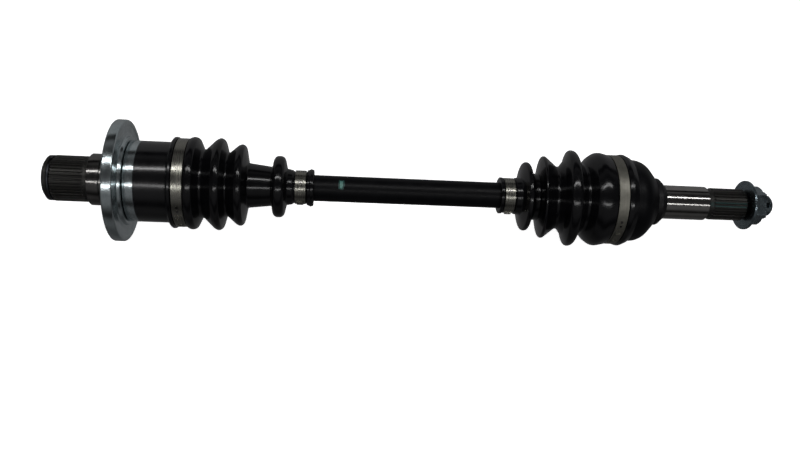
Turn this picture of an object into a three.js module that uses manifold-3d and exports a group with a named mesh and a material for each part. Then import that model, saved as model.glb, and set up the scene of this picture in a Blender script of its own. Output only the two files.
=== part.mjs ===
// A CV axle for an off-road vehicle: a bar with a plunging ball joint at its inboard end and a
// fixed ball joint at its outboard end, each under a rubber boot.
// Millimetres. +X runs along the axle from the inboard stub's nose to the castle nut, and +Z is up.
// The origin is the centre of the inboard stub's nose face.

import * as THREE from "three";
import { mergeVertices } from "three/addons/utils/BufferGeometryUtils.js";
import Module from "manifold-3d";

const wasm = await Module();
wasm.setup();

// ---------------------------------------------------------------- driving dimensions

const TOOTH = { topShare: 0.36, flankShare: 0.15 }; // of a stub spline's pitch
const SIDES = 30; // of every turned piece, so that the facets of mating pieces lie along each other
const GAP = 0.3; // between two pieces that touch on the real axle
const BALLS = 6; // in each joint

const BAR_R = 13.1;

const INBOARD = {
  centre: 111.5, // joint centre along the axle, at mid travel
  pitchR: 26, // of the ball centres
  ballR: 8,
  trackClearance: 0.9, // the inner race's tracks over the balls, for the joint's angle
  raceR: 22.9, // inner race's outer sphere
  raceHalf: 11,
  cageInnerR: 23.6,
  cageOuterR: 28.6,
  cageHalf: 11,
  windowSpan: 18.6, // window's size round the cage
};

const OUTBOARD = {
  centre: 573,
  pitchR: 29,
  ballR: 9,
  trackClearance: 1.3,
  raceR: 26.2,
  raceHalf: 12.5,
  cageInnerR: 27,
  cageOuterR: 31.8,
  cageHalf: 13.5,
  windowSpan: 21.5,
};

const HOUSING = {
  chamferX: 3.5,
  noseR: 19,
  splineR: 22.5,
  splineRootR: 20.9,
  splineTeeth: 40,
  splineEnd: 41,
  neckX: 44,
  neckR: 25.4,
  grooveX: 55.1,
  grooveWidth: 2.2,
  grooveR: 23.8,
  hubX: 61,
  hubR: 31,
  backX: 68,
  registerR: 36,
  cupX: 81,
  cupR: 39.9,
  boreR: 29,
  boreX: 80.5,
  mouthX: 139,
  mouthR: 34,
  trackFrom: 84,
};

const STUB_CLIP = { x: 7, width: 1.8, grooveR: 20.2, innerR: 20.5, outerR: 22.2, gapDeg: 24 };

const FLANGE = { x: 66.9, rimX: 77.2, rimR: 59.7, edge: 1.2, shoulderX: 80.5, shoulderR: 43.4 };

const STOP_RING = { x: 135.5, width: 1.8, grooveR: 31.6, innerR: 27.8, outerR: 31.3, gapDeg: 16 };

const RACE_CLIP = { width: 1.6, grooveR: 11, innerR: 11.3, outerR: 15.2, gapDeg: 40 };

const RACE_SPLINE = { teeth: 18, tipR: 12.7, rootR: 11.6, topShare: 0.3, flankShare: 0.1 };

const BELL = {
  mouthX: 556.5,
  mouthR: 36.5,
  lipX: 564,
  rimR: 42.3,
  shoulderX: 582,
  domeR: 44.2,
  domeEndDeg: 48.7,
  innerR: 32.7,
  journalR: 17.5,
  journalEnd: 664,
  reliefR: 15.7,
  reliefEnd: 669,
  splineR: 16.5,
  splineRootR: 15.1,
  splineTeeth: 27,
  splineEnd: 705,
  threadR: 10.8,
  endX: 734,
  pinX: 729.8, // hole for the nut's cotter pin
  pinR: 2.1,
};

const COLLAR = { x: 606.6, endX: 617.6, outerR: 24.2, faceR: 20.4 };
const WASHER = { x: 707.4, thickness: 3.3, outerR: 25.6, boreR: 11.4 };
const NUT = {
  x: 711,
  flangeX: 713,
  flangeR: 20.6,
  acrossFlats: 35,
  hexEnd: 725,
  crownR: 13.4,
  crownEndR: 12.2,
  endX: 736,
  slots: 6,
  slotWidth: 5.2,
  slotX: 723.5,
  slotDeg: 45,
};

const LARGE_CLAMP = { thickness: 0.9, width: 10.2 };
const INBOARD_LARGE_CLAMP = { x: 126.6, innerR: 43.1, lockAt: 110 };
const INBOARD_SMALL_CLAMP = { x: 240.6, width: 10.6, innerR: 16.2, lockAt: 100 };
const OUTBOARD_SMALL_CLAMP = { x: 450.9, width: 10.2, innerR: 17.2, lockAt: 115 };
const OUTBOARD_LARGE_CLAMP = { x: 557.8, innerR: 45.2, lockAt: 100 };

// ---------------------------------------------------------------- materials

function finish(color, roughness, metalness) {
  return new THREE.MeshStandardMaterial({ color, roughness, metalness });
}

const BLACK_PAINT = finish(0x0d0d10, 0.3, 0.1);
const PHOSPHATE = finish(0x2b2b29, 0.5, 0.8);
const ZINC = finish(0xa9b4b6, 0.25, 1);
const STAINLESS = finish(0xb0ada3, 0.3, 1);
const RUBBER = finish(0x0f0f11, 0.4, 0);
const BEARING_STEEL = finish(0xb9bcc0, 0.12, 1);
const HARDENED = finish(0x6c6a66, 0.35, 1);
const SPRING_STEEL = finish(0x3c3d40, 0.4, 0.9);
const DARK_ZINC = finish(0x5f6a70, 0.35, 0.9);

// ---------------------------------------------------------------- making and joining solids

const rad = THREE.MathUtils.degToRad;

// A closed geometry as a solid that can be joined and cut.
function solidOf(geometry) {
  const bare = new THREE.BufferGeometry();
  bare.setAttribute("position", geometry.getAttribute("position"));
  bare.setIndex(geometry.index);
  const merged = mergeVertices(bare, 1e-4);
  const corners = Array.from(merged.index.array);
  const kept = [];
  for (let i = 0; i < corners.length; i += 3) {
    const [a, b, c] = corners.slice(i, i + 3);
    if (a !== b && b !== c && c !== a) kept.push(a, b, c);
  }
  const mesh = new wasm.Mesh({
    numProp: 3,
    vertProperties: merged.attributes.position.array,
    triVerts: new Uint32Array(kept),
  });
  return new wasm.Manifold(mesh);
}

// A named mesh made from a solid.
function piece(name, solid, material) {
  const made = solid.getMesh();
  const geometry = new THREE.BufferGeometry();
  geometry.setAttribute("position", new THREE.BufferAttribute(made.vertProperties, 3));
  geometry.setIndex(new THREE.BufferAttribute(made.triVerts, 1));
  geometry.computeVertexNormals();
  const mesh = new THREE.Mesh(geometry, material);
  mesh.name = name;
  return mesh;
}

// Points on an arc in the (x, r) plane, from one angle to another in degrees, 0 pointing along +X.
function arc(x, r, radius, from, to, steps) {
  const points = [];
  for (let i = 0; i <= steps; i++) {
    const angle = rad(from + ((to - from) * i) / steps);
    points.push([x + radius * Math.cos(angle), r + radius * Math.sin(angle)]);
  }
  return points;
}

// A solid turned about the X axis from an outline of (x, r) points. An outline that doesn't start
// and end on the axis closes on itself.
function turned(profile) {
  const outline = profile.map(([x, r]) => new THREE.Vector2(r, x));
  const onAxis = profile[0][1] === 0 && profile.at(-1)[1] === 0;
  if (THREE.ShapeUtils.area(outline) < 0) outline.reverse();
  if (!onAxis) outline.push(outline[0].clone());
  const geometry = new THREE.LatheGeometry(outline, SIDES);
  return solidOf(geometry.rotateZ(-Math.PI / 2));
}

// A plain ring between two radii.
function ring(x, width, innerR, outerR) {
  return turned([
    [x, innerR],
    [x, outerR],
    [x + width, outerR],
    [x + width, innerR],
  ]);
}

// A box lying along X, whose middle is at a radius and turned about the X axis. Angle 0 is +Z.
function block(x0, x1, across, r0, r1, degrees) {
  const geometry = new THREE.BoxGeometry(x1 - x0, across, r1 - r0);
  geometry.translate((x0 + x1) / 2, 0, (r0 + r1) / 2);
  return solidOf(geometry.rotateX(rad(degrees)));
}

// A snap ring: a plain ring with a gap at the top.
function snapRing(x, width, innerR, outerR, gapDeg) {
  const across = 2 * outerR * Math.sin(rad(gapDeg / 2));
  const gap = block(x - 1, x + width + 1, across, innerR / 2, outerR + 1, 0);
  return ring(x, width, innerR, outerR).subtract(gap);
}

// The outline of a splined section in the YZ plane. topShare is the tooth top's share of the pitch.
function splineShape(teeth, tipR, rootR, topShare, flankShare) {
  const shape = new THREE.Shape();
  const pitch = (2 * Math.PI) / teeth;
  const corners = [
    [-topShare / 2 - flankShare, rootR],
    [-topShare / 2, tipR],
    [topShare / 2, tipR],
    [topShare / 2 + flankShare, rootR],
  ];
  for (let i = 0; i < teeth; i++) {
    for (const [share, r] of corners) {
      const angle = (i + share) * pitch;
      const at = [r * Math.cos(angle), r * Math.sin(angle)];
      if (i === 0 && share === corners[0][0]) shape.moveTo(...at);
      else shape.lineTo(...at);
    }
  }
  return shape;
}

// A splined bar along X.
function splinedBar(x0, x1, shape) {
  const geometry = new THREE.ExtrudeGeometry(shape, { depth: x1 - x0, bevelEnabled: false });
  return solidOf(geometry.rotateY(Math.PI / 2).translate(x0, 0, 0));
}

// The solid repeated at equal angles about the X axis, joined into one.
function around(solid, count) {
  let all = solid;
  for (let i = 1; i < count; i++) {
    all = all.add(solid.rotate([(360 * i) / count, 0, 0]));
  }
  return all;
}

// ---------------------------------------------------------------- the ball joints

// An arc in the XZ plane about a joint centre, which a ball's centre follows.
class TrackPath extends THREE.Curve {
  constructor(centre, radius, from, to) {
    super();
    Object.assign(this, { centre, radius, from, to });
  }
  getPoint(t, target = new THREE.Vector3()) {
    const angle = rad(this.from + (this.to - this.from) * t);
    const x = this.centre + this.radius * Math.sin(angle);
    return target.set(x, 0, this.radius * Math.cos(angle));
  }
}

// The six curved ball tracks of a joint, from one swing angle to another, as solids to cut with.
function curvedTracks(joint, from, to, steps) {
  const section = new THREE.Shape();
  section.absarc(0, 0, joint.ballR + joint.trackClearance, 0, 2 * Math.PI);
  const geometry = new THREE.ExtrudeGeometry(section, {
    steps,
    curveSegments: 6,
    bevelEnabled: false,
    extrudePath: new TrackPath(joint.centre, joint.pitchR, from, to),
  });
  return around(solidOf(geometry), BALLS);
}

// Part of a ball's outer sphere about the joint centre, between two planes square to X.
function sphereBand(centre, radius, half, steps) {
  const edge = THREE.MathUtils.radToDeg(Math.asin(half / radius));
  return arc(centre, 0, radius, 90 + edge, 90 - edge, steps);
}

function innerRace(joint) {
  const profile = [
    [joint.centre - joint.raceHalf, 0],
    ...sphereBand(joint.centre, joint.raceR, joint.raceHalf, 4),
    [joint.centre + joint.raceHalf, 0],
  ];
  const spline = RACE_SPLINE;
  const holeShape = splineShape(
    spline.teeth,
    spline.tipR + GAP,
    spline.rootR + GAP,
    spline.topShare + 2 * spline.flankShare + 0.02,
    spline.flankShare,
  );
  const from = joint.centre - joint.raceHalf - 1;
  const hole = splinedBar(from, joint.centre + joint.raceHalf + 1, holeShape);
  return turned(profile).subtract(hole).subtract(curvedTracks(joint, -60, 60, 6));
}

function cage(joint) {
  const outer = sphereBand(joint.centre, joint.cageOuterR, joint.cageHalf, 4);
  const inner = sphereBand(joint.centre, joint.cageInnerR, joint.cageHalf, 4).reverse();
  const half = joint.ballR + GAP;
  const window = block(
    joint.centre - half,
    joint.centre + half,
    joint.windowSpan,
    joint.cageInnerR / 2,
    joint.cageOuterR + 2,
    0,
  );
  return turned([...outer, ...inner]).subtract(around(window, BALLS));
}

function ball(joint, i) {
  const geometry = new THREE.IcosahedronGeometry(joint.ballR, 2);
  geometry.translate(joint.centre, 0, joint.pitchR);
  return solidOf(geometry.rotateX(rad((360 * i) / BALLS)));
}

// ---------------------------------------------------------------- inboard end

function inboardHousing() {
  const h = HOUSING;
  const clip = STUB_CLIP;
  const stop = STOP_RING;
  const teeth = splinedBar(
    0,
    h.splineEnd,
    splineShape(h.splineTeeth, h.splineR, h.splineRootR, TOOTH.topShare, TOOTH.flankShare),
  );
  const nose = turned([
    [0, 0],
    [0, h.noseR],
    [h.chamferX, h.splineR + 0.1],
    [clip.x - clip.width / 2 - GAP, h.splineR + 0.1],
    [clip.x - clip.width / 2 - GAP, clip.grooveR],
    [clip.x + clip.width / 2 + GAP, clip.grooveR],
    [clip.x + clip.width / 2 + GAP, h.splineR + 0.1],
    [h.splineEnd, h.splineR + 0.1],
    [h.splineEnd, 0],
  ]);
  const body = turned([
    [h.splineEnd - 1, 0],
    [h.splineEnd - 1, h.splineRootR],
    [h.splineEnd, h.splineRootR],
    [h.neckX, h.neckR],
    [h.grooveX, h.neckR],
    [h.grooveX, h.grooveR],
    [h.grooveX + h.grooveWidth, h.grooveR],
    [h.grooveX + h.grooveWidth, h.neckR],
    [h.hubX, h.neckR],
    [h.hubX + 2, h.hubR],
    [h.backX, h.registerR],
    [h.cupX, h.registerR],
    [h.cupX, h.cupR],
    [h.mouthX, h.cupR],
    [h.mouthX, h.mouthR],
    [stop.x + stop.width / 2 + GAP, h.boreR + 1.2],
    [stop.x + stop.width / 2 + GAP, stop.grooveR],
    [stop.x - stop.width / 2 - GAP, stop.grooveR],
    [stop.x - stop.width / 2 - GAP, h.boreR],
    [h.boreX, h.boreR],
    [h.boreX - 3, h.boreR - 6],
    [h.boreX - 3, 0],
  ]);
  const trackR = INBOARD.ballR + 0.5;
  const track = new THREE.CylinderGeometry(trackR, trackR, h.mouthX + 1 - h.trackFrom, 20);
  track.rotateZ(Math.PI / 2);
  track.translate((h.mouthX + 1 + h.trackFrom) / 2, 0, INBOARD.pitchR);
  return teeth.intersect(nose).add(body).subtract(around(solidOf(track), BALLS));
}

function deflectorFlange() {
  const f = FLANGE;
  const boreR = HOUSING.registerR + GAP;
  return turned([
    [f.x, boreR],
    [f.x, f.rimR - f.edge],
    [f.x + f.edge, f.rimR],
    [f.rimX - f.edge, f.rimR],
    [f.rimX, f.rimR - f.edge],
    [f.rimX, f.shoulderR],
    [f.shoulderX, f.shoulderR],
    [f.shoulderX, boreR],
  ]);
}

// The outline runs along the boot's outside from its large end, and back along its inside.
function inboardBoot() {
  const seat = HOUSING.cupR + GAP;
  return turned([
    [118.7, seat],
    [118.7, 42],
    [121.5, 44.6],
    [125.5, 44.6],
    [126.3, 42.8],
    [137.1, 42.8],
    [139.5, 45],
    [145, 44.6],
    [152, 33.5],
    [163.5, 43.8],
    [168, 44],
    [174.8, 31.5],
    [185.5, 39.2],
    [190, 38.6],
    [195.5, 22.3],
    [217, 19.8],
    [220.5, 28.4],
    [224.5, 30.2],
    [228.5, 28.4],
    [232.5, 18.4],
    [237, 17.5],
    [239.5, 15.9],
    [252, 15.9],
    [253.5, 17.8],
    [259, 16.5],
    [259, BAR_R + GAP],
    [232, BAR_R + GAP],
    [224.5, 26],
    [216, 17.4],
    [193.5, 19.8],
    [187.5, 36],
    [174.8, 28.8],
    [166, 40.5],
    [152, 30.8],
    [143, seat],
  ]);
}

// ---------------------------------------------------------------- the bar

// The bar's splined end, with a groove for the circlip that holds the race. side is -1 or +1.
function barEnd(joint, side) {
  const from = joint.centre - side * (joint.raceHalf + 2);
  const clipX = joint.centre + side * (joint.raceHalf + GAP + RACE_CLIP.width / 2);
  const end = clipX + side * (RACE_CLIP.width / 2 + 2.2);
  const half = RACE_CLIP.width / 2 + GAP;
  const spline = RACE_SPLINE;
  const shape = splineShape(
    spline.teeth,
    spline.tipR,
    spline.rootR,
    spline.topShare,
    spline.flankShare,
  );
  const groove = ring(clipX - half, 2 * half, RACE_CLIP.grooveR, BAR_R + 1);
  return splinedBar(Math.min(from, end), Math.max(from, end), shape).subtract(groove);
}

function axleBar() {
  const left = INBOARD.centre + INBOARD.raceHalf + GAP;
  const right = OUTBOARD.centre - OUTBOARD.raceHalf - GAP;
  const bar = turned([
    [left, 0],
    [left, BAR_R],
    [right, BAR_R],
    [right, 0],
  ]);
  return bar.add(barEnd(INBOARD, -1)).add(barEnd(OUTBOARD, 1));
}

function raceCirclip(joint, side) {
  const clip = RACE_CLIP;
  const x = joint.centre + side * (joint.raceHalf + GAP + clip.width / 2);
  return snapRing(x - clip.width / 2, clip.width, clip.innerR, clip.outerR, clip.gapDeg);
}

// ---------------------------------------------------------------- outboard end

function outboardBoot() {
  const seat = BELL.rimR + GAP;
  return turned([
    [446.7, BAR_R + GAP],
    [446.7, 17.6],
    [449.6, 17.9],
    [450.4, 16.9],
    [461.6, 16.9],
    [463, 18.5],
    [466.5, 19],
    [470.8, 33.5],
    [474.5, 33.6],
    [480.5, 24],
    [485.6, 24],
    [489, 39.8],
    [494, 40.3],
    [506.6, 30.5],
    [516, 46.8],
    [520.5, 48.5],
    [525, 46.8],
    [531.8, 36],
    [539, 44.8],
    [548, 47.4],
    [557, 44.9],
    [568.6, 44.9],
    [570.5, 46.9],
    [574, 46.6],
    [578.5, 43.6],
    [578.5, seat],
    [556, seat],
    [541, 41.6],
    [531.8, 33],
    [520.5, 45],
    [506.6, 27.5],
    [492, 37.2],
    [484, 21.6],
    [472.7, 30.6],
    [468, BAR_R + GAP],
  ]);
}

function outboardBell() {
  const b = BELL;
  const centre = OUTBOARD.centre;
  const shoulderDeg = THREE.MathUtils.radToDeg(Math.acos((b.shoulderX - centre) / b.domeR));
  const lipDeg = THREE.MathUtils.radToDeg(Math.acos((b.lipX - centre) / b.innerR));
  const body = turned([
    [b.mouthX, b.mouthR],
    [b.mouthX, b.rimR],
    [b.shoulderX, b.rimR],
    ...arc(centre, 0, b.domeR, Math.min(shoulderDeg, 76), 90 - b.domeEndDeg, 5),
    [COLLAR.x - GAP, b.journalR],
    [b.journalEnd - 1, b.journalR],
    [b.journalEnd + 0.6, b.reliefR],
    [b.reliefEnd, b.reliefR],
    [b.reliefEnd, 0],
    [centre + b.innerR, 0],
    ...arc(centre, 0, b.innerR, 5, lipDeg, 8),
  ]);
  const spline = splinedBar(
    b.reliefEnd - 1,
    b.splineEnd,
    splineShape(b.splineTeeth, b.splineR, b.splineRootR, TOOTH.topShare, TOOTH.flankShare),
  );
  const thread = turned([
    [b.splineEnd - 1, 0],
    [b.splineEnd - 1, b.threadR],
    [b.endX - 1.2, b.threadR],
    [b.endX, b.threadR - 1.2],
    [b.endX, 0],
  ]);
  const pinHole = new THREE.CylinderGeometry(b.pinR, b.pinR, 3 * b.threadR, 12);
  pinHole.rotateX(Math.PI / 2 + rad(NUT.slotDeg));
  pinHole.translate(b.pinX, 0, 0);
  const stub = spline.add(thread).subtract(solidOf(pinHole));
  return body.subtract(curvedTracks(OUTBOARD, -70, 43, 7)).add(stub);
}

function sealCollar() {
  const c = COLLAR;
  const boreR = BELL.journalR + GAP;
  return turned([
    [c.x, boreR],
    [c.x, c.outerR],
    [c.endX - 5, c.outerR],
    [c.endX - 1.5, c.outerR - 1.5],
    [c.endX, c.faceR],
    [c.endX, boreR],
  ]);
}

function hubWasher() {
  return ring(WASHER.x, WASHER.thickness, WASHER.boreR, WASHER.outerR);
}

function castleNut() {
  const n = NUT;
  const boreR = BELL.threadR + GAP;
  const hexR = n.acrossFlats / Math.sqrt(3);
  const hex = new THREE.CylinderGeometry(hexR, hexR, n.hexEnd - n.x, 6);
  hex.rotateZ(Math.PI / 2).rotateX(rad(n.slotDeg - 30));
  hex.translate((n.hexEnd + n.x) / 2, 0, 0);
  const chamfer = turned([
    [n.x, 0],
    [n.x, hexR],
    [n.hexEnd - 1.8, hexR],
    [n.hexEnd, n.acrossFlats / 2 - 0.6],
    [n.hexEnd, 0],
  ]);
  const flange = ring(n.x, n.flangeX - n.x, boreR, n.flangeR);
  const crown = turned([
    [n.hexEnd - 1, boreR],
    [n.hexEnd - 1, n.crownR],
    [n.endX - 1.2, n.crownR - 0.3],
    [n.endX, n.crownEndR],
    [n.endX, boreR],
  ]);
  const bore = turned([
    [n.x - 1, 0],
    [n.x - 1, boreR],
    [n.endX + 1, boreR],
    [n.endX + 1, 0],
  ]);
  const slot = block(n.slotX, n.endX + 1, n.slotWidth, boreR - 2, hexR + 1, n.slotDeg);
  const slots = around(slot, n.slots);
  return solidOf(hex).intersect(chamfer).add(flange).add(crown).subtract(bore).subtract(slots);
}

// ---------------------------------------------------------------- boot clamps

// A steel band with a low lock where its ends hook together, at an angle from +Z in degrees.
function bandClamp(clamp, width, thickness) {
  const outerR = clamp.innerR + thickness;
  const band = ring(clamp.x, width, clamp.innerR, outerR);
  const lockLength = 0.32 * outerR + 3;
  const lockX = clamp.x + width * 0.15;
  const lock = block(
    lockX,
    lockX + width * 0.7,
    lockLength,
    outerR - thickness / 2,
    outerR + 1.1,
    clamp.lockAt,
  );
  const inside = ring(clamp.x - 1, width + 2, 1, clamp.innerR);
  return band.add(lock.subtract(inside));
}

// ---------------------------------------------------------------- the axle

const axle = new THREE.Group();

function add(name, solid, material) {
  axle.add(piece(name, solid, material));
}

function addJointInside(prefix, joint, side) {
  add(`${prefix}_inner_race`, innerRace(joint), HARDENED);
  add(`${prefix}_race_circlip`, raceCirclip(joint, side), SPRING_STEEL);
  add(`${prefix}_cage`, cage(joint), HARDENED);
  for (let i = 0; i < BALLS; i++) {
    add(`${prefix}_ball_${i + 1}`, ball(joint, i), BEARING_STEEL);
  }
}

function addInboardEnd() {
  const clip = STUB_CLIP;
  const stop = STOP_RING;
  add("inboard_housing", inboardHousing(), BLACK_PAINT);
  add(
    "stub_circlip",
    snapRing(clip.x - clip.width / 2, clip.width, clip.innerR, clip.outerR, clip.gapDeg),
    SPRING_STEEL,
  );
  add("deflector_flange", deflectorFlange(), ZINC);
  add(
    "stop_ring",
    snapRing(stop.x - stop.width / 2, stop.width, stop.innerR, stop.outerR, stop.gapDeg),
    SPRING_STEEL,
  );
  addJointInside("inboard", INBOARD, -1);
  add("inboard_boot", inboardBoot(), RUBBER);
  add(
    "inboard_large_clamp",
    bandClamp(INBOARD_LARGE_CLAMP, LARGE_CLAMP.width, LARGE_CLAMP.thickness),
    STAINLESS,
  );
  add(
    "inboard_small_clamp",
    bandClamp(INBOARD_SMALL_CLAMP, INBOARD_SMALL_CLAMP.width, LARGE_CLAMP.thickness),
    STAINLESS,
  );
}

function addOutboardEnd() {
  add(
    "outboard_small_clamp",
    bandClamp(OUTBOARD_SMALL_CLAMP, OUTBOARD_SMALL_CLAMP.width, LARGE_CLAMP.thickness),
    STAINLESS,
  );
  add("outboard_boot", outboardBoot(), RUBBER);
  add(
    "outboard_large_clamp",
    bandClamp(OUTBOARD_LARGE_CLAMP, LARGE_CLAMP.width, LARGE_CLAMP.thickness),
    STAINLESS,
  );
  addJointInside("outboard", OUTBOARD, 1);
  add("outboard_bell", outboardBell(), BLACK_PAINT);
  add("seal_collar", sealCollar(), RUBBER);
  add("hub_washer", hubWasher(), DARK_ZINC);
  add("castle_nut", castleNut(), DARK_ZINC);
}

addInboardEnd();
add("axle_bar", axleBar(), BLACK_PAINT);
addOutboardEnd();

export default axle;
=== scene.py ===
import math

import bmesh
import bpy
from bpy.props import FloatProperty, FloatVectorProperty, IntProperty, PointerProperty
from mathutils import Matrix, Vector, noise


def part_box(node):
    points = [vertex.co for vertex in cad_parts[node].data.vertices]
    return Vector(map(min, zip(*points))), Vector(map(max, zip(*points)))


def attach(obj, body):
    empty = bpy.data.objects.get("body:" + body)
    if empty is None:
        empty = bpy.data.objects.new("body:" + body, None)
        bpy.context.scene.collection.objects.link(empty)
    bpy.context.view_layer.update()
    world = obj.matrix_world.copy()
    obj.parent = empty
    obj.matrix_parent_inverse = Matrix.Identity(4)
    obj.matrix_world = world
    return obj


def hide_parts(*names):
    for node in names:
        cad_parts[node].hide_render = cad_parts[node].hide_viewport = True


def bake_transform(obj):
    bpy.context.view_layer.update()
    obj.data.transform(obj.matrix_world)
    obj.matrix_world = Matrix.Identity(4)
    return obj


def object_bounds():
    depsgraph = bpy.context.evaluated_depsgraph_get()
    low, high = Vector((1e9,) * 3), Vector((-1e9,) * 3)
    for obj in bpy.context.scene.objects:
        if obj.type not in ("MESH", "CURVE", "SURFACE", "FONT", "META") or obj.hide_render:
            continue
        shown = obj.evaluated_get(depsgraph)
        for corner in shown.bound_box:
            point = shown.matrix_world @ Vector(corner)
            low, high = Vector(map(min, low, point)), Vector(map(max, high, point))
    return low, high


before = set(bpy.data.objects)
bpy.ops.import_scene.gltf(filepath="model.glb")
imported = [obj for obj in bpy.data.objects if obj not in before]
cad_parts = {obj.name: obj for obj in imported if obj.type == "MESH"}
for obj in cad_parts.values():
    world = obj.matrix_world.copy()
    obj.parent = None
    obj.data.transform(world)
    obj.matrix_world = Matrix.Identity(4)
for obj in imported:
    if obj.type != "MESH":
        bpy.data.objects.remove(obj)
CAD_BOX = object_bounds()

bl_info = {
    "name": "CV axle",
    "version": (1, 0, 0),
    "blender": (4, 5, 0),
    "location": "View3D > Sidebar > CV axle",
    "description": "Builds the visible pieces of a CV axle round its CAD frame",
    "category": "Object",
}

MM = 0.001
BALLS = 6  # in each joint, and tracks in each outer race
BOOT_SEGMENTS = 144
RING_SEGMENTS = 128
SMOOTH_BELOW = math.radians(28)  # two faces that meet at less than this are shaded as one surface
FACING = 45  # the angle round the axle that faces the camera


def span(node):
    """A CAD node's first x, last x and outer radius, in millimetres."""
    low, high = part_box(node)
    return low.x / MM, high.x / MM, max(high.y, -low.y, high.z, -low.z) / MM


HOUSING_X, HOUSING_END, CUP_R = span("inboard_housing")
FLANGE_X, FLANGE_END, FLANGE_R = span("deflector_flange")
BAR_X, BAR_END, BAR_R = span("axle_bar")
BELL_X = span("outboard_bell")[0]
COLLAR_X, COLLAR_END, COLLAR_R = span("seal_collar")
WASHER_X, WASHER_END, WASHER_R = span("hub_washer")
NUT_X, NUT_END, _ = span("castle_nut")
INBOARD_CENTRE = sum(span("inboard_cage")[:2]) / 2
OUTBOARD_CENTRE = sum(span("outboard_cage")[:2]) / 2


def srgb(hex_colour):
    """An sRGB hex colour as linear RGBA."""
    channels = [int(hex_colour[i : i + 2], 16) / 255 for i in (1, 3, 5)]
    linear = [c / 12.92 if c <= 0.04045 else ((c + 0.055) / 1.055) ** 2.4 for c in channels]
    return (*linear, 1.0)


# ---------------------------------------------------------------- what a user may change


class CVAXLE_PG_sizes(bpy.types.PropertyGroup):
    """Sizes of the axle's details, which the CAD frame leaves open."""

    inboard_teeth: IntProperty(
        name="Inboard spline teeth",
        description="Teeth round the inboard stub",
        default=40,
        min=12,
        max=60,
    )
    outboard_teeth: IntProperty(
        name="Outboard spline teeth",
        description="Teeth round the outboard stub",
        default=27,
        min=12,
        max=60,
    )
    tooth_depth: FloatProperty(
        name="Tooth depth",
        description="From a spline tooth's top to its root",
        default=1.5 * MM,
        unit="LENGTH",
    )
    thread_pitch: FloatProperty(
        name="Thread pitch",
        description="From one thread crest to the next on the outboard stub",
        default=1.5 * MM,
        unit="LENGTH",
    )
    strap_gauge: FloatProperty(
        name="Strap gauge",
        description="Thickness of one layer of a boot clamp's strap",
        default=0.45 * MM,
        unit="LENGTH",
    )
    mark_length: FloatProperty(
        name="Paint mark length",
        description="The paint mark's size along the bar",
        default=6.2 * MM,
        unit="LENGTH",
    )
    mark_width: FloatProperty(
        name="Paint mark width",
        description="The paint mark's size round the bar",
        default=10.5 * MM,
        unit="LENGTH",
    )


class CVAXLE_PG_colours(bpy.types.PropertyGroup):
    """Colours of the finishes that a maker may change."""

    paint: FloatVectorProperty(
        name="Paint",
        description="Black paint on the forgings and the bar",
        subtype="COLOR",
        size=4,
        default=srgb("#060608"),
    )
    rubber: FloatVectorProperty(
        name="Rubber",
        description="Boot rubber",
        subtype="COLOR",
        size=4,
        default=srgb("#070709"),
    )
    mark: FloatVectorProperty(
        name="Paint mark",
        description="Inspector's paint mark on the bar",
        subtype="COLOR",
        size=4,
        default=srgb("#5C9086"),
    )
    mark_edge: FloatVectorProperty(
        name="Mark edge",
        description="Thin edge of the paint mark on the bar",
        subtype="COLOR",
        size=4,
        default=srgb("#073F3A"),
    )


class CVAXLE_PG_stage(bpy.types.PropertyGroup):
    """Where the camera and the lights stand."""

    distance: FloatProperty(
        name="Camera distance",
        description="From the camera to the middle of the axle",
        default=0.79,
        unit="LENGTH",
    )
    lens: FloatProperty(
        name="Lens",
        description="Focal length in millimetres on a sensor 36 mm wide",
        default=35.1,
    )
    elevation: FloatProperty(
        name="Camera elevation",
        description="How far the camera looks down",
        default=math.radians(FACING),
        subtype="ANGLE",
    )
    key_power: FloatProperty(
        name="Upper strip power",
        description="Power of the strip light above the camera, in watts",
        default=6.5,
    )
    fill_power: FloatProperty(
        name="Lower strip power",
        description="Power of the strip light below the camera, in watts",
        default=3.4,
    )


# ---------------------------------------------------------------- outlines


def rounded(corners, steps=5):
    """The corners of an outline as points, with an arc at each corner given as (x, r, radius)."""
    points = []
    for i, corner in enumerate(corners):
        here = Vector(corner[:2])
        if len(corner) < 3 or i in (0, len(corners) - 1):
            points.append(tuple(here))
            continue
        back = Vector(corners[i - 1][:2]) - here
        ahead = Vector(corners[i + 1][:2]) - here
        half = back.angle(ahead) / 2
        reach = min(corner[2] / math.tan(half), 0.49 * back.length, 0.49 * ahead.length)
        middle = back.normalized() + ahead.normalized()
        centre = here + middle.normalized() * (reach / math.cos(half))
        first = here + back.normalized() * reach - centre
        last = here + ahead.normalized() * reach - centre
        turn = math.atan2(first.x * last.y - first.y * last.x, first.dot(last))
        for k in range(steps + 1):
            swing = turn * k / steps
            along = Vector(
                (
                    first.x * math.cos(swing) - first.y * math.sin(swing),
                    first.x * math.sin(swing) + first.y * math.cos(swing),
                )
            )
            points.append(tuple(centre + along))
    return points


def teeth(count, tip, root):
    """A splined ring's radius at each angle."""

    def radius(angle):
        share = (angle * count / (2 * math.pi) + 0.01) % 1
        return tip if share < 0.5 else root

    return radius


def lobed(base, reach_of):
    """A bore's radius at each angle: its base, or as far out as the nearest ball track reaches."""
    pitch = 2 * math.pi / BALLS

    def radius(angle):
        off = (angle + pitch / 2) % pitch - pitch / 2
        return max(base, reach_of(off))

    return radius


def straight_track(pitch_radius, track_radius):
    """How far a straight track reaches out, by angle from its middle."""

    def reach(off):
        side = pitch_radius * math.sin(off)
        if abs(side) >= track_radius:
            return 0
        return pitch_radius * math.cos(off) + math.sqrt(track_radius**2 - side**2)

    return reach


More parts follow.
